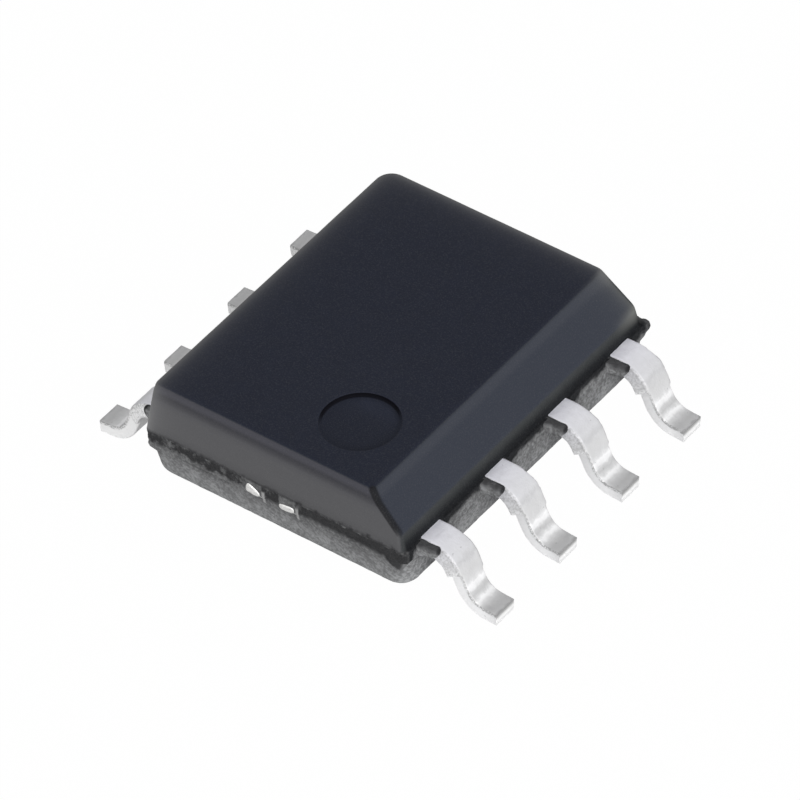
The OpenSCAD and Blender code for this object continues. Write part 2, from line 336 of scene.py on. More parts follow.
def dense(corners, step):
    """Points along a closed line through these corners, about a step apart."""
    corners = np.array(corners)
    points = []
    for a, b in zip(corners, np.roll(corners, -1, 0)):
        count = max(2, int(np.linalg.norm(b - a)/step))
        points += [a + share*(b - a) for share in np.linspace(0, 1, count + 1)[:-1]]
    return np.array(points)


# ---------------------------------------------------------------- moulded body

CORNER_STEPS, SHORT_STEPS, LONG_STEPS = 12, 122, 156
DIMPLE_RIM = 0.012           # width of the rounded rim outside the dimple
# The dimple from its rim to near its middle: out from its radius, and depth
DIMPLE_RINGS = ((0.006, 0.0015), (0.001, 0.006), (-0.001, 0.013), (-0.004, 0.030),
                (-0.008, 0.042), (-0.016, 0.050), (-0.030, 0.0535), (-0.055, 0.055),
                (-0.10, 0.0565), (-0.18, 0.0585), (-0.28, 0.060), (-0.38, 0.0605),
                (-0.46, 0.061))
CRACK_HEIGHT = 0.668
BARE_FROM = 1.9              # the leads lie bare from here out to the edge of the band


def outline(z, x_lo, x_hi, half_y, corners, shift=0.0):
    """Round-cornered outline at one height, its points always counted the same way."""
    walls = zip(np.broadcast_to(corners, 4), (x_hi, x_lo, x_lo, x_hi), (1, 1, -1, -1))
    arcs = []
    for k, (radius, x, end) in enumerate(walls):
        centre = (x - radius*math.copysign(1, x), end*(half_y - radius) + shift)
        arcs.append(quarter(centre, radius, k, CORNER_STEPS))
    ring = join_quarters(arcs, SHORT_STEPS, LONG_STEPS)
    return np.column_stack([ring, np.full(len(ring), z)])


def lower_loops():
    """Underside, its rounded edge, and the walls up to the lead frame."""
    drop = FRAME_BOTTOM - BODY_BOTTOM
    round_in = BASE_ROUND*(1/math.cos(LOWER_DRAFT) - math.tan(LOWER_DRAFT))
    centre_in = drop*math.tan(LOWER_DRAFT) + round_in

    def level(z, inset, corner):
        return outline(z, inset - LOWER_X, LOWER_X - inset, LOWER_Y - inset, corner)

    loops = [level(BODY_BOTTOM, centre_in + (LOWER_X - centre_in)*share,
                   0.02 + (LOWER_CORNER - BASE_ROUND)*(1 - share))
             for share in (0.90, 0.65, 0.4, 0.2, 0.07)]
    for turn in np.radians(np.linspace(0, 82, 10)):
        loops.append(level(BODY_BOTTOM + BASE_ROUND*(1 - math.cos(turn)),
                           centre_in - BASE_ROUND*math.sin(turn),
                           LOWER_CORNER - BASE_ROUND*(1 - math.sin(turn))))
    start = BODY_BOTTOM + BASE_ROUND*(1 - math.sin(LOWER_DRAFT))
    for z in np.linspace(start, FRAME_BOTTOM - 0.006, 15)[1:]:
        loops.append(level(z, (FRAME_BOTTOM - z)*math.tan(LOWER_DRAFT), LOWER_CORNER))
    return loops + [level(FRAME_BOTTOM, 0.004, LOWER_CORNER)]


def band_loops():
    """The parting band, up to the ledge under the upper half."""
    levels = [(z, 0.0) for z in np.linspace(FRAME_BOTTOM + 0.012, FRAME_TOP - 0.012, 12)]
    levels += [(FRAME_TOP - 0.004, 0.003), (FRAME_TOP - 0.001, 0.012)]
    return [outline(z, inset - BAND_X, BAND_X - inset, BAND_Y - inset, BAND_CORNERS)
            for z, inset in levels]


def upper_loops():
    """Walls and bevel up to the edge of the top face."""
    rise = BODY_TOP - FRAME_TOP
    start, over = (UPPER_X, FRAME_TOP), (0, BODY_TOP)
    bevel = [start, *round_corner(start, BEVEL_FOOT, BEVEL_HEAD, TOP_ROUND, 5),
             *round_corner(BEVEL_FOOT, BEVEL_HEAD, over, TOP_ROUND, 6)]
    side_head = (UPPER_X - rise*math.tan(SIDE_DRAFT), BODY_TOP)
    side = [start, *round_corner(start, side_head, over, TOP_ROUND, 12)]
    foot, head = (UPPER_Y, FRAME_TOP), (TOP_END, BODY_TOP)
    back = [foot, *round_corner(foot, head, over, TOP_ROUND, 12)]
    front = [foot, *round_corner(foot, END_KNEE, head, KNEE_ROUND, 6),
             *round_corner(END_KNEE, head, over, 0.8*TOP_ROUND, 12)]
    heights = sorted({*np.round(np.linspace(FRAME_TOP, BODY_TOP - 0.10, 20), 5),
                      *np.round([p[1] for p in bevel[1:-7]], 5),
                      *np.round([p[1] for p in side[1:]], 5)})

    def out(line, z):
        return float(np.interp(z, [p[1] for p in line], [p[0] for p in line]))

    loops = []
    for z in heights:
        turned = math.sqrt(1 - max(0.0, 1 - (BODY_TOP - z)/TOP_ROUND)**2)
        corners = UPPER_CORNERS + (z - FRAME_TOP)/rise*(TOP_CORNERS - UPPER_CORNERS)
        loops.append(outline(z, -out(bevel, z), out(side, z), (out(front, z) + out(back, z))/2,
                             np.maximum(0.012, corners - TOP_ROUND*(1 - turned)),
                             UPPER_SHIFT + (out(front, z) - out(back, z))/2))
    return loops


def top_loops(edge):
    """The top face drawn in from its edge to the dimple, then the dimple."""
    centre = np.array([*DIMPLE, BODY_TOP])
    spoke = edge - centre
    spoke[:, 2] = 0
    spoke /= np.linalg.norm(spoke, axis=1)[:, None]
    stub_shade = centre + spoke*(DIMPLE_RADIUS + DIMPLE_RIM)
    loops = [edge + (1 - (1 - share)**1.5)*(stub_shade - edge) for share in np.linspace(0, 1, 22)[1:]]
    for out, down in DIMPLE_RINGS:
        ring = centre + spoke*(DIMPLE_RADIUS + out)
        ring[:, 2] = BODY_TOP - down
        loops.append(ring)
    return loops


def body_relief(points, is_lower, is_band):
    """How far the resin stands out from its plain form."""
    x, y, z = points.T
    at_end = ease(abs(y), 2.36, 2.41)
    # Rough broken resin round the band, smoother faces elsewhere
    relief = 0.0030*lumps(points, 9, 4, 1)*is_lower
    relief += (0.005 + 0.007*at_end)*lumps(points, 15, 4, 2)*is_band
    relief += 0.0012*lumps(points, 2.2, 2, 3)*(1 - is_lower)*(1 - is_band)
    relief += 0.005*lumps(points, 6, 4, 4)*is_lower*ease(z, FRAME_BOTTOM - 0.05, FRAME_BOTTOM)
    # Flash at two corners
    band_corner = (-BAND_X, -BAND_Y + 0.02, FRAME_TOP - 0.05)
    relief += 0.075*near(points, band_corner, (0.12, 0.13, 0.13))*is_band
    lower_corner = (BAND_X - 0.05, BAND_Y - 0.05, FRAME_BOTTOM - 0.08)
    relief += 0.085*near(points, lower_corner, (0.17, 0.17, 0.13))*is_lower
    # Flash that laps over the tie bars, and a burr beside each at the +Y end
    for side in (-1, 1):
        over_tie = ease(abs(x - side*TIE_X), 0.17, 0.12)*ease(abs(y), 2.40, 2.45)*is_band
        lap = relief*(1 - over_tie) + (TIE_OUT + 0.005 - BAND_Y)*over_tie
        relief = np.where(over_tie > 0, lap, relief)
        burr = ease(abs(x - side*TIE_X + 0.13), 0.035, 0.008)*ease(y, 2.30, 2.40)
        relief += 0.012*burr*ease(z, 0.64, 0.68)*ease(z, 0.87, 0.82)
    return relief


def lifted_skin(points):
    """1 along a hairline at the +Y end, where the skin of the lower half has lifted."""
    x, y, z = points.T
    line = ease(abs(z - CRACK_HEIGHT + 0.01*np.sin(9*x)), 0.022, 0.004)
    return line*ease(y, 2.38, 2.42)*ease(abs(x - 1.0), 0.5, 0.25)


def moulded_body(material):
    lower, band, upper = lower_loops(), band_loops(), upper_loops()
    top = top_loops(upper[-1])
    loops = lower + band + upper + top
    around = len(loops[0])
    points, faces = skin(loops)

    def zone(values):
        """The loops' values, each given to all points of its loop."""
        return np.concatenate([np.repeat(values, around), [values[0], values[-1]]])

    is_lower = zone([1]*len(lower) + [0]*(len(band) + len(upper) + len(top)))
    is_band = zone([0]*len(lower) + [1]*len(band) + [0]*(len(upper) + len(top)))
    x, y, _ = points.T
    crack = lifted_skin(points)
    points = push(points, faces, body_relief(points, is_lower, is_band) - 0.008*crack)
    # The leads lie bare up to the wall of the upper half
    for n in LEADS:
        beside = ease(abs(y - lead_y(n)), LEAD_WIDTH/2 + 0.06, LEAD_WIDTH/2 + 0.02)
        bare = (is_band > 0)*(x*lead_side(n) > BARE_FROM)*beside
        points[:, 2] -= bare*np.maximum(0, points[:, 2] - FRAME_TOP + 0.03)
    piece("moulded_body", points, faces, material, "package_body",
          {"lower": is_lower, "crack": 0.45*crack}, 50)


# ---------------------------------------------------------------- leads

LEG_ANGLE, FOOT_ANGLE = math.radians(68), math.radians(4)
SHOULDER_BEND, FOOT_BEND, FOOT = 0.33, 0.36, 0.17
LEAD_ARRIS = 0.022           # radius of its long edges
BAR_END = (0.54, 0.44)       # heights at which the sheared dam bar ends on the +Y and -Y edges
# The cut end closes over a small rounding: inset of each ring, and distance back
TIP_RINGS = ((0.006, 0.002), (0.016, 0.0005), (0.05, 0.0), (0.10, 0.0))


def lead_line():
    """Centre line of a lead out to its tip: distance out, height and downward slope."""
    middle = FRAME_TOP - METAL/2
    tip = (SPAN/2 - METAL/2*math.sin(FOOT_ANGLE), METAL/2*math.cos(FOOT_ANGLE))
    heel = (tip[0] - FOOT*math.cos(FOOT_ANGLE), tip[1] + FOOT*math.sin(FOOT_ANGLE))
    fall = middle - heel[1] - SHOULDER_BEND*(1 - math.cos(LEG_ANGLE))
    fall -= FOOT_BEND*(math.cos(FOOT_ANGLE) - math.cos(LEG_ANGLE))
    leg = fall/math.sin(LEG_ANGLE)
    ankle = (heel[0] - FOOT_BEND*(math.sin(LEG_ANGLE) - math.sin(FOOT_ANGLE)),
             heel[1] + FOOT_BEND*(math.cos(FOOT_ANGLE) - math.cos(LEG_ANGLE)))
    knee = (ankle[0] - leg*math.cos(LEG_ANGLE), ankle[1] + leg*math.sin(LEG_ANGLE))
    shoulder_x = knee[0] - SHOULDER_BEND*math.sin(LEG_ANGLE)

    def straight(start, end, slope, shares):
        return [(start[0] + share*(end[0] - start[0]), start[1] + share*(end[1] - start[1]), slope)
                for share in shares]

    line = [(x, middle, 0.0) for x in np.linspace(UPPER_X - 0.10, shoulder_x, 20)[:-1]]
    for turn in np.linspace(0, LEG_ANGLE, 27):
        line.append((shoulder_x + SHOULDER_BEND*math.sin(turn),
                     middle - SHOULDER_BEND*(1 - math.cos(turn)), turn))
    line += straight(knee, ankle, LEG_ANGLE, np.linspace(0, 1, 20)[1:-1])
    for turn in np.linspace(LEG_ANGLE, FOOT_ANGLE, 27):
        line.append((heel[0] - FOOT_BEND*(math.sin(turn) - math.sin(FOOT_ANGLE)),
                     heel[1] + FOOT_BEND*(math.cos(FOOT_ANGLE) - math.cos(turn)), turn))
    return line + straight(heel, tip, FOOT_ANGLE, np.linspace(0, 1, 12)[1:])


def strap_section(width, thick, corner, wide_steps, thin_steps):
    """Round-cornered section of a strap: across and up."""
    w, t = width/2 - corner, thick/2 - corner
    centres = [(w, t), (-w, t), (-w, -t), (w, -t)]
    arcs = [quarter(centre, corner, k, 4) for k, centre in enumerate(centres)]
    return join_quarters(arcs, wide_steps, thin_steps)


def lead(n, material):
    side, y = lead_side(n), lead_y(n)
    line = lead_line()
    section = strap_section(LEAD_WIDTH, METAL, LEAD_ARRIS, 14, 7)
    lengths = [math.dist(a[:2], b[:2]) for a, b in zip(line[:-1], line[1:])]
    run = np.concatenate([[0], np.cumsum(lengths)])
    stations = [(x, z, slope, 0, at) for (x, z, slope), at in zip(line, run)]
    x, z, slope = line[-1]
    for inset, back in TIP_RINGS:
        stations.append((x - back*math.cos(slope), z + back*math.sin(slope), slope, inset, run[-1]))
    loops, along, upper, tip, sheared = [], [], [], [], []
    for x, z, slope, inset, at in stations:
        across = side*section[:, 0]*(1 - 2*inset/LEAD_WIDTH)
        up = section[:, 1]*(1 - 2*min(inset, 0.07)/METAL)
        # Above the cut of the dam bar the lead is wider, most of all at its underside
        bar = np.where(across > 0, *(ease(z, end - 0.02, end + 0.015) for end in BAR_END))
        leg = ease(z, 0.80, 0.70)
        under = (1 - up/(METAL/2))/2
        wide = bar*np.where(across > 0, 0.015 + 0.060*under, 0.006 + 0.020*leg)
        wide = np.sign(across)*wide*np.minimum(1, abs(across)/0.16)
        loops.append(np.column_stack([side*(x + up*math.sin(slope)), y + across + wide,
                                      z + up*math.cos(slope)]))
        along.append(np.full(len(section), at/run[-1]))
        upper.append(up/(METAL/2))
        tip.append(np.full(len(section), float(inset > 0.001)))
        sheared.append(bar*(abs(across) > LEAD_WIDTH/2 - 0.004))
    points, faces = skin(loops)
    # Each zone's values, with those of the skin's two end points
    along, upper, tip, sheared = (
        np.concatenate([*values, ends]) for values, ends in
        ((along, [0, 1]), (upper, [0, 0]), (tip, [0, 1]), (sheared, [0, 0])))
    rough = 0.0022*lumps(points, 9, 3, 10 + n) + 0.0012*lumps(points, 30, 2, 20 + n)
    rough += sheared*(0.006*lumps(points, 13, 3, 30 + n) + 0.004)
    points = push(points, faces, rough)
    points[:, 2] = np.maximum(points[:, 2], 0.0)
    points[:, 0] = np.clip(points[:, 0], -SPAN/2, SPAN/2)
    piece(f"lead_form_{n}", points, faces, material, f"lead_{n}",
          {"along": along, "upper": upper, "tip": tip, "sheared": sheared}, 50)


# ---------------------------------------------------------------- resin stubs and sheared tie bars

STUB_WIDTH, STUB_GAP = 0.10, 0.012       # the gap is to the edge of the lead
STUB_REACH = {-1: 0.28, 1: 0.235}        # out from the band, on the -X and on the +X side
# A stub from its underside up: share that each ring is drawn in, and height
STUB_RINGS = ((0.5, 0), (0.2, 0), (0.08, 0.004), (0.02, 0.014), (0, 0.03), (0, 0.06), (0, 0.09),
              (0, 0.12), (0, 0.145), (0.02, 0.160), (0.08, 0.169), (0.2, 0.173), (0.5, 0.174))
# A tie end from inside the wall out: size of each ring, and how far it stands out
TIE_RINGS = ((1.0, -0.03), (1.0, 0.004), (0.95, 0.010), (0.82, 0.015), (0.55, 0.018),
             (0.25, 0.019))
# Place across the end and height, half length, half height, taper and tilt
TIE_ENDS = {"left": (0.290, 0.782, 0.108, 0.062, 0.50, 0.32),
            "right": (-0.217, 0.762, 0.115, 0.047, 0.0, -0.12)}


def resin_stub(n, material):
    """Resin left beside a lead, between the body and the place of the dam bar."""
    side, y = lead_side(n), lead_y(n) + LEAD_WIDTH/2 + STUB_GAP
    reach, width = BAND_X + STUB_REACH[side], STUB_WIDTH
    plan = dense([(BAND_X - 0.09, -0.01), (reach - 0.03, -0.01), (reach - 0.008, 0.004),
                  (reach, 0.03), (reach - 0.004, 0.06), (reach - 0.02, width - 0.018),
                  (reach - 0.05, width - 0.004), (BAND_X + 0.10, width),
                  (BAND_X + 0.03, 1.25*width), (BAND_X - 0.09, 1.8*width)], 0.012)
    middle = plan.mean(0)
    loops = []
    for inset, z in STUB_RINGS:
        ring = plan + inset*(middle - plan)
        ring[:, 0] -= np.maximum(0, 0.10 - z)*0.6*ease(ring[:, 0], BAND_X + 0.05, reach)
        loops.append(np.column_stack([side*ring[:, 0], y + ring[:, 1],
                                      np.full(len(ring), FRAME_BOTTOM + z)]))
    points, faces = skin(loops, inside_out=side < 0)
    points = push(points, faces, 0.006*lumps(points, 12, 4, 40 + n) - 0.002)
    x_out, off = abs(points[:, 0]), points[:, 1] - y
    if side < 0:
        # Painted shade in the gap against the lead and round the tip
        stub_shade = np.maximum(ease(off, 0.022, 0.006), ease(x_out, reach - 0.040, reach - 0.012))
        stub_shade *= ease(points[:, 2], FRAME_BOTTOM + 0.03, FRAME_TOP - 0.05)
    else:
        # The far ones get painted shade only at the tip
        stub_shade = ease(x_out, reach - 0.070, reach - 0.045)
    piece(f"resin_stub_{n}", points, faces, material, "package_body",
          {"lower": np.ones(len(points)), "crack": 0.95*stub_shade}, 60)


def tie_end(name, spot, end, half_length, half_height, taper, tilt, material):
    """Bright smeared end of a cut tie bar, fatter towards one side by the taper."""
    turn = np.radians(np.arange(0, 360, 9))
    across = half_length*np.sign(np.cos(turn))*abs(np.cos(turn))**0.7
    up = half_height*(1 + taper*np.cos(turn))*np.sign(np.sin(turn))*abs(np.sin(turn))**0.6
    ring = np.stack([across, up], 1)
    ring = ring @ np.array([[math.cos(tilt), math.sin(tilt)], [-math.sin(tilt), math.cos(tilt)]])
    loops = []
    for scale, out in TIE_RINGS:
        loops.append(np.column_stack([spot[0] + end*scale*ring[:, 0],
                                      np.full(len(ring), end*(TIE_OUT + out)),
                                      spot[1] + scale*ring[:, 1]]))
    points, faces = skin(loops, inside_out=True)
    points = push(points, faces, 0.004*lumps(points, 20, 3, 60 + spot[0]))
    piece(name, points, faces, material)


# ---------------------------------------------------------------- finishes

# Colours of the resin
TOP_FACE = (0.0165, 0.0195, 0.0322, 1.0)
WALL_LOW, WALL_HIGH = (0.042, 0.045, 0.047, 1.0), (0.045, 0.049, 0.054, 1.0)
# The bevel, and a painted highlight near its top
BEVEL_FACE, BEVEL_HIGHLIGHT = (0.038, 0.043, 0.058, 1.0), (0.048, 0.053, 0.068, 1.0)
DIMPLE_SHADE, GROOVE_SHADE = (0.0, 0.0, 0.002, 1.0), (0.006, 0.007, 0.009, 1.0)
# A pale rim at the back corner, and painted shade on the stubs' tops
BACK_RIM, STUB_TOP_SHADE = (0.175, 0.178, 0.170, 1.0), (0.072, 0.072, 0.076, 1.0)
PALE_LOW, PALE_HIGH = (0.187, 0.189, 0.193, 1.0), (0.293, 0.297, 0.302, 1.0)
# End walls from the belt up: grey, then a painted shade line, then a painted highlight on the
# rounded rim
END_WALL_SHADING = ((0.00, grey(0.060, 1.05)), (0.05, grey(0.088, 1.05)), (0.22, grey(0.100, 1.05)),
            (0.60, grey(0.098, 1.06)), (0.71, grey(0.088, 1.08)), (0.79, grey(0.060, 1.12)),
            (0.85, grey(0.045, 1.16)), (0.91, grey(0.064, 1.2)), (0.97, grey(0.062, 1.2)),
            (1.00, grey(0.034, 1.3)))

# Grey of the plating along a lead from the body to the tip, on its upper face and on its edges,
# with painted highlights at the bends and painted shade near the body and on the foot
FACE_LIGHT_TONES = ((0.0, 0.95), (0.153, 0.92), (0.169, 0.88), (0.205, 0.79), (0.241, 0.74),
              (0.278, 0.70), (0.315, 0.655), (0.351, 0.655), (0.388, 0.59), (0.424, 0.675),
              (0.465, 0.685), (0.547, 0.70), (0.572, 0.78), (0.595, 0.97), (0.629, 0.88),
              (0.666, 0.61), (0.704, 0.53), (0.741, 0.655), (0.775, 0.90), (0.800, 0.86),
              (0.835, 0.66), (0.889, 0.56), (0.933, 0.49), (0.978, 0.53), (1.0, 0.40))
EDGE_LIGHT_TONES = ((0.0, 0.65), (0.30, 0.65), (0.42, 0.69), (0.48, 0.90), (0.60, 0.99), (0.85, 0.97),
              (1.0, 0.80))
# Grey of the cut end, from its lower edge up
CUT_TONES = ((0.0, 0.74), (0.22, 0.85), (0.40, 1.0), (0.55, 0.84), (0.72, 0.48), (0.90, 0.31))


class Resin(Finish):
    """The moulded resin, coloured one region after the other."""

    def __init__(self):
        super().__init__(bpy.data.materials.new("moulded resin"))
        self.lower = self.zone("lower")
        self.x, self.y, self.z = [self.axis(k) for k in range(3)]
        self.speck, self.fine = self.grain(60, 2), self.grain(24, 4, 0.6)
        self.cloud, self.blotch = self.grain(5, 4, 0.6), self.grain(8, 3, 0.6)
        x, y, z = self.x, self.y, self.z
        self.turned = x*y.calc("SIGN", y)        # the same on both ends
        self.at_end = abs(y).ramp(2.36, 2.42)

        # Distance in from each wall of the upper half, and from the bevel
        self.rise = z - FRAME_TOP
        lean = (END_KNEE[0] - TOP_END)/(BODY_TOP - END_KNEE[1])
        above_knee = (z - END_KNEE[1]).most(0.0)
        lean_in = self.rise*math.tan(KNEE_DRAFT) + above_knee*(lean - math.tan(KNEE_DRAFT))
        self.back_gap = UPPER_Y - UPPER_SHIFT + y - self.rise*math.tan(END_DRAFT)
        self.end_gap = (UPPER_Y + UPPER_SHIFT - y - lean_in).least(self.back_gap)
        self.side_gap = UPPER_X - x - self.rise*math.tan(SIDE_DRAFT)
        self.bevel_gap = BEVEL_HEAD[0] + BODY_TOP + x - z
        self.inner = z.ramp(1.4, 1.5)            # the top face without its rims
        for gap in (self.end_gap, self.side_gap, self.bevel_gap):
            self.inner = self.inner*gap.ramp(0.06, 0.10)

        # Painted shade on the dimple's wall towards +X -Y
        across, along = x - DIMPLE[0], y - DIMPLE[1]
        self.from_dimple = (across**2 + along**2)**0.5
        dimple_wall = self.inner*self.from_dimple.ramp(0.46, 0.488)
        dimple_wall = dimple_wall*z.ramp(BODY_TOP - 0.003, BODY_TOP - 0.010)
        to_far = (0.62*across - 0.78*along)*(1/DIMPLE_RADIUS)
        self.dimple_wall_shade = dimple_wall*to_far.ramp(-0.05, 0.45)

    def upper_half(self):
        """Top face with the dimple, long walls, bevel and end walls."""
        z = self.z
        on_end = self.end_gap.ramp(0.03, 0.0)
        on_bevel = self.bevel_gap.ramp(0.03, 0.0)*(1 - on_end)
        on_top = z.ramp(BODY_TOP - 0.025, BODY_TOP - 0.006).most(self.inner)
        # One resin throughout: the walls' and the bevel's paler tones against the dark top face are
        # painted light and shade
        colour = self.blend(on_top, self.blend(z.ramp(1.10, 1.20), WALL_LOW, WALL_HIGH), TOP_FACE)
        colour = self.dim(colour, 0.80 + 0.40*self.cloud)
        # Painted light and shade on the dimple's floor: paler towards -Y, a little darker towards
        # +Y
        on_floor = self.inner*self.from_dimple.ramp(0.47, 0.40)
        floor_light_and_shade = 0.35*(DIMPLE[1] - self.y).ramp(0.0, 0.40) - 0.10
        colour = self.blend(self.dimple_wall_shade, self.dim(colour, 1 + on_floor*floor_light_and_shade), DIMPLE_SHADE)
        # Painted highlight near the top of the bevel
        bevel_highlight_mask = self.bevel_gap.ramp(0.02, 0.0)*z.window(1.50, 1.57, 1.60, 1.63)
        bevel = self.blend(bevel_highlight_mask, BEVEL_FACE, BEVEL_HIGHLIGHT)
        colour = self.blend(on_bevel*z.ramp(BODY_TOP - 0.005, BODY_TOP - 0.03), colour, bevel)
        # The end walls' grey, with a painted shade line and a painted highlight on the rim
        end_wall = self.tones(self.rise*(1/(BODY_TOP - FRAME_TOP)), *END_WALL_SHADING)
        return self.blend(on_end*(1 - on_top), colour, end_wall)

    def rims(self, colour):
        """Edges of the upper half: painted shade beside the bevel at the +Y end, pale elsewhere."""
        x, y, z = self.x, self.y, self.z
        front = y.ramp(0.0, 1.0)
        # Painted shade along the corner of the bevel and the +Y end wall
        bevel_corner_shade = (self.end_gap + self.bevel_gap).ramp(0.095, 0.045)*z.ramp(1.08, 1.26)*front
        colour = self.blend(bevel_corner_shade*0.9, colour, grey(0.009, 1.2))
        # The back corner at the bevel, and a patch on the wall under it
        corner = self.bevel_gap.ramp(0.05, 0.0)*z.ramp(1.05, 1.15)*self.back_gap.fade(12)
        patch = y.ramp(-1.80, -2.42)*z.window(0.93, 1.02, 1.16, 1.26)*x.ramp(-1.5, -1.8)
        colour = self.blend(corner + patch*0.8, colour, BACK_RIM)
        # The upright edge at the +X end, and the rims along the back and the +X side
        upright_pale_line = 0.60*self.side_gap.fade(28) + 0.12*self.side_gap.fade(6)
        upright = self.end_gap.ramp(0.10, 0.02)*front*z.ramp(BODY_TOP, BODY_TOP - 0.15)
        colour = self.blend(upright_pale_line*upright, colour, grey(0.42))
        pale_rims = self.side_gap.fade(16) + self.back_gap.fade(16)
        pale_rims = pale_rims*z.ramp(BODY_TOP - 0.20, BODY_TOP - 0.08)
        return self.blend(pale_rims, colour, grey(0.205, 1.02))

    def pale_resin(self):
        """Mottled resin of the lower half, and of the webs between the leads."""
        fine, z, at_end = self.fine, self.z, self.at_end
        pale = self.blend((self.cloud*0.5 + fine*0.5).ramp(0.40, 0.62), PALE_LOW, PALE_HIGH)
        sand = (fine.ramp(0.38, 0.62) - 0.5)*(0.30 - 0.15*at_end)
        # Painted light and shade: the pale resin is paler low down, and darker upwards and at the
        # ends
        shade = 0.30*z.ramp(0.38, 0.72) + at_end*(0.12 + 0.10*z.ramp(0.56, 0.64))
        return self.blend(fine.ramp(0.36, 0.28)*0.45, self.dim(pale, sand + 1.17 - shade),
                          grey(0.07))

    def broken_edges(self, colour):
        """Dark broken resin and painted shade: a belt round the ends, shade over the webs, and
        shade on the stubs' tops.
        """
        y, z, turned, at_end, blotch = self.y, self.z, self.turned, self.at_end, self.blotch
        corner_drop = turned.ramp(-1.64, -1.84)*abs(y).ramp(2.26, 2.40)*0.20
        ragged = (blotch - 0.5)*0.20 + (self.fine - 0.5)*0.06
        over_tie = abs(abs(turned - 0.035) - 0.255).ramp(0.15, 0.11)
        calm = turned.ramp(-0.30, -0.45)         # the belt's lower edge is clean on this side
        narrow = turned.ramp(1.50, 1.80)*0.02
        belt = (z + corner_drop + ragged*(1 - calm*0.75) - narrow).ramp(0.705, 0.785)
        belt = belt*(z + ragged + narrow).ramp(0.975, 0.89)*(1 - 0.75*over_tie)
        belt = belt*(0.25 + 0.75*blotch.ramp(0.32, 0.52).most(calm*0.95))
        stub = self.lower*z.ramp(FRAME_BOTTOM, FRAME_BOTTOM + 0.02)*self.x.ramp(0.5, 0.0)
        # The belt is partly dark broken resin and partly painted shade under the upper half's wall
        colour = self.blend(at_end*belt*0.92*(1 - stub), colour, grey(0.020, 1.08))
        # Painted shade over the webs, reaching further down beside each lead as a painted shadow of
        # the lead
        pitches = (LEAD_Y - y)*(1/LEAD_PITCH)
        beside = pitches.calc("FRACT", pitches)*LEAD_PITCH
        lead_shadow_reach = beside.ramp(0.55, 0.15)*0.105 + beside.ramp(0.80, 1.05)*0.02
        web_shade = (z + ragged + corner_drop + lead_shadow_reach).ramp(0.775, 0.875)*z.ramp(1.14, 0.95)
        colour = self.blend((1 - at_end)*web_shade*(1 - self.lower)*0.95, colour, GROOVE_SHADE)
        # Painted shade on the stubs' tops
        shaded_stub_top = ((blotch - 0.5)*0.12 + (self.fine - 0.5)*0.10 + z).ramp(0.82, 0.92)
        colour = self.blend(stub*shaded_stub_top, colour, STUB_TOP_SHADE)
        # A bright burr beside each tie bar, then the hairline and the painted shade round the stubs
        burr = abs(turned - 0.137).ramp(0.035, 0.012) + abs(turned + 0.37).ramp(0.030, 0.010)
        burr = burr*z.window(0.62, 0.66, 0.82, 0.86)*at_end
        colour = self.blend(burr*0.8, colour, grey(0.42))
        return self.blend(self.zone("crack"), colour, grey(0.016, 1.1))

    def material(self):
        is_pale = self.z.ramp(FRAME_TOP + 0.02, FRAME_TOP - 0.01).most(self.lower)
        colour = self.blend(is_pale, self.rims(self.upper_half()), self.pale_resin())
        colour = self.broken_edges(colour)
        speckle = (self.speck - 0.5).ramp(-0.10, 0.45)*(0.09 - 0.09*self.dimple_wall_shade)
        colour = self.blend(speckle, colour, grey(0.30))
        normal = self.bump(self.speck*0.5 + self.fine*0.5, 0.004)
        coarse = self.grain(26, 4, 0.7)*self.z.ramp(FRAME_TOP + 0.02, FRAME_TOP - 0.02)
        return self.plastic(Base_Color=colour, Roughness=0.70 + 0.15*self.cloud,
                            Specular_IOR_Level=0.12, Normal=self.bump(coarse, 0.02, normal))


def tin_finish():
    f = new_finish("matte tin plating")
    along, upper, tip, sheared = (f.zone(name) for name in ("along", "upper", "tip", "sheared"))
    fine, cloud, mottle = f.grain(38, 3), f.grain(7, 4, 0.6), f.grain(11, 3, 0.6)

    def plating_and_light(field, tones):
        """Grey tones along a lead with painted light and shade, bluer near the body."""
        return f.tones(field, *((at, grey(value, 1.10 - 0.09*min(1, at/0.45)))
                                for at, value in tones))

    face = plating_and_light(along + (mottle - 0.5)*0.08 + (fine - 0.5)*0.015, FACE_LIGHT_TONES)
    face = f.dim(face, 0.92 + 0.16*cloud)
    # Painted light: the edges of the leads on the +X side, which the lamps leave in shade, are
    # painted near white
    far_side_painted_light = f.axis(0).ramp(0.0, 0.5)
    edge = f.blend(far_side_painted_light*0.8, plating_and_light(along, EDGE_LIGHT_TONES), grey(0.98))
    colour = f.blend(upper.ramp(0.80, 0.95), edge, face)
    # Where the dam bar was sheared off, the metal is broken and pitted
    cell = f.add("TexVoronoi", {"feature": "DISTANCE_TO_EDGE"},
                 {"Vector": f.place(), "Scale": 11/MM})
    pits = (cell.ramp(0.10, 0.0)*0.35).most(fine.ramp(0.50, 0.62)*0.45)
    colour = f.blend(pits*sheared, colour, grey(0.35))
    # Dull ragged line where the face meets the edges
    arris = upper.window(0.40, 0.75, 0.93, 0.998)*(0.25 + 0.75*fine.ramp(0.42, 0.55))
    colour = f.blend(arris*(0.40 + 0.40*along.ramp(0.40, 0.75)), colour, grey(0.25))
    spots = f.grain(15, 2).ramp(0.70, 0.76)
    colour = f.blend(spots*0.5, colour, grey(0.30))
    cut = f.tones(upper*0.5 + 0.5, *((at, grey(value)) for at, value in CUT_TONES))
    colour = f.blend(tip, colour, cut)
    normal = f.bump(fine*0.5 + cloud*0.5, 0.006)
    return f.plastic(Base_Color=colour, Metallic=0.30, Roughness=0.42 + 0.16*cloud, Normal=normal)


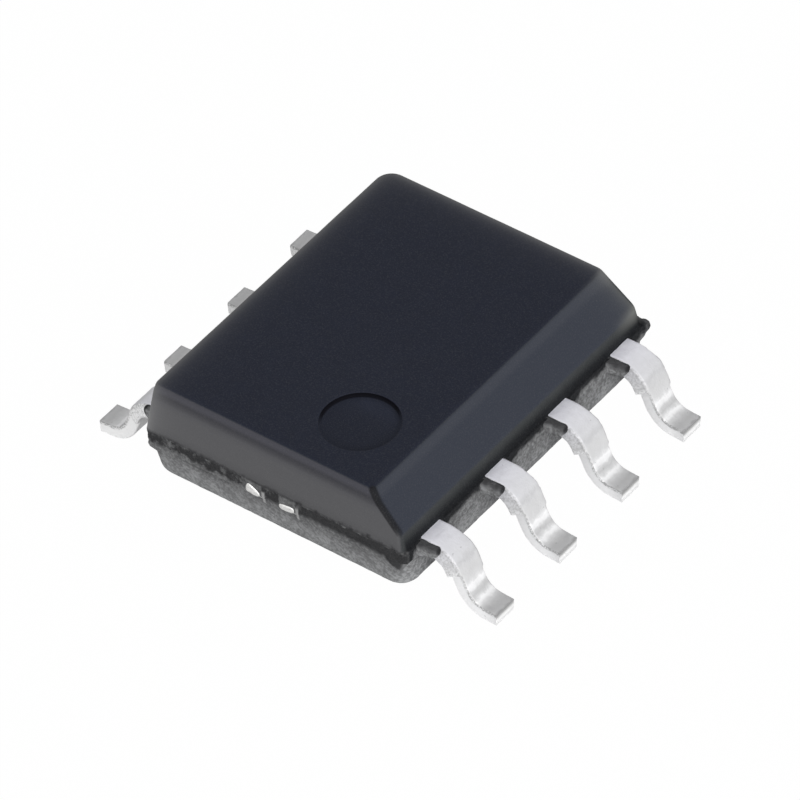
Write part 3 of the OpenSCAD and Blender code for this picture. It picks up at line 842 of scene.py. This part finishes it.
def plain_metal(name, colour, roughness):
    f = new_finish(name)
    pale_rims = (*(c*0.75 for c in colour[:3]), 1)
    tone = f.blend(f.grain(20, 4).ramp(0.35, 0.75), colour, pale_rims)
    return f.plastic(Base_Color=tone, Metallic=0.9, Roughness=roughness,
                     Normal=f.bump(f.grain(40, 3), 0.004))


resin, tin = Resin().material(), tin_finish()
cut_alloy = plain_metal("sheared copper alloy", (1.0, 0.995, 0.98, 1), 0.42)
wire_metal = plain_metal("bond wire", (0.80, 0.52, 0.32, 1), 0.25)
silicon = plain_metal("silicon", (0.12, 0.14, 0.19, 1), 0.2)
adhesive = plain_metal("silver-filled adhesive", (0.6, 0.59, 0.55, 1), 0.5)

moulded_body(resin)
for n in LEADS:
    lead(n, tin)
    resin_stub(n, resin)
for end, name in ((1, "front"), (-1, "back")):
    for which, (across, height, *shape) in TIE_ENDS.items():
        tie_end(f"tie_end_{name}_{which}", (end*across, height), end, *shape, cut_alloy)

inside = {"die_pad": cut_alloy, "die_attach": adhesive, "die": silicon}
inside.update({f"bond_wire_{n}": wire_metal for n in LEADS})
for node, material in inside.items():
    obj = frame["nodes"][node]
    obj.data.materials.clear()
    obj.data.materials.append(material)


# ---------------------------------------------------------------- floor, light and camera

FLOOR_HALF = 0.6                         # metres
LAMP_DISTANCE, LAMP_SIZE = 0.16, 0.10    # metres
LAMP_AIM, CAMERA_AIM = 0.8, 0.7          # heights in the middle of the chip, in millimetres
CAMERA_DISTANCE, CAMERA_RIGHT, CAMERA_UP = 113.0541, 0.0289, -0.15915    # millimetres
FOCAL_LENGTH, SENSOR = 420.786, 36       # millimetres


def floor():
    mesh = bpy.data.meshes.new("floor")
    corners = [(x*FLOOR_HALF, y*FLOOR_HALF, 0) for x, y in ((-1, -1), (1, -1), (1, 1), (-1, 1))]
    mesh.from_pydata(corners, [], [(0, 1, 2, 3)])
    obj = bpy.data.objects.new("floor", mesh)
    bpy.context.scene.collection.objects.link(obj)
    f = new_finish("white paper")
    paper = f.add("BsdfDiffuse", None, {"Color": grey(0.92)})
    white = f.add("Emission", None, {"Color": grey(1.0), "Strength": 1.0})
    seen = f.add("LightPath", output="Is Camera Ray")
    mesh.materials.append(f.surface(f.add("MixShader", None, {0: seen*0.99, 1: paper, 2: white})))


def world():
    bpy.context.scene.world = bpy.data.worlds.new("studio")
    f = Finish(bpy.context.scene.world)
    soft = f.add("Background", None, {"Color": grey(1.0), "Strength": 0.45})
    white = f.add("Background", None, {"Color": grey(1.0), "Strength": 1.0})
    camera_ray, glossy_ray, transmission_ray = (
        f.add("LightPath", output=f"Is {ray} Ray") for ray in ("Camera", "Glossy", "Transmission"))
    seen = camera_ray + glossy_ray + transmission_ray
    f.surface(f.add("MixShader", None, {0: seen, 1: soft, 2: white}), "OutputWorld")


def softbox(name, azimuth, elevation, power):
    """A round lamp that looks at the chip from this direction; azimuth 0 is +X, 90 is +Y."""
    a, e = math.radians(azimuth), math.radians(elevation)
    way = Vector((math.cos(a)*math.cos(e), math.sin(a)*math.cos(e), math.sin(e)))
    data = bpy.data.lights.new(name, "AREA")
    data.shape, data.size, data.energy = "DISK", LAMP_SIZE, power
    obj = bpy.data.objects.new(name, data)
    obj.location = way*LAMP_DISTANCE + Vector((0, 0, LAMP_AIM*MM))
    obj.rotation_euler = way.to_track_quat("Z", "Y").to_euler()
    bpy.context.scene.collection.objects.link(obj)


def camera():
    """Looks at the chip from the -X +Y side, with its aim moved a little to the right and down."""
    azimuth, elevation, roll = (math.radians(a) for a in (219.4752, 43.22863, -3.68428))
    back = Vector((math.sin(azimuth)*math.cos(elevation), -math.cos(azimuth)*math.cos(elevation),
                   math.sin(elevation)))
    level_right = Vector((math.cos(azimuth), math.sin(azimuth), 0))
    level_up = back.cross(level_right)
    right = math.cos(roll)*level_right + math.sin(roll)*level_up
    up = -math.sin(roll)*level_right + math.cos(roll)*level_up
    aim = Vector((0, 0, CAMERA_AIM)) + right*CAMERA_RIGHT + up*CAMERA_UP
    data = bpy.data.cameras.new("camera")
    data.sensor_width = SENSOR
    data.lens = FOCAL_LENGTH
    data.clip_start, data.clip_end = 0.01, 5
    obj = bpy.data.objects.new("camera", data)
    turn = Matrix((right, up, back)).transposed().to_4x4()
    obj.matrix_world = Matrix.Translation((aim + back*CAMERA_DISTANCE)*MM) @ turn
    bpy.context.scene.collection.objects.link(obj)
    bpy.context.scene.camera = obj


floor()
world()
softbox("front lamp", 105, 22, 0.085)
softbox("side lamp", 168, 22, 0.115)
camera()
bpy.context.scene.view_settings.view_transform = "Standard"
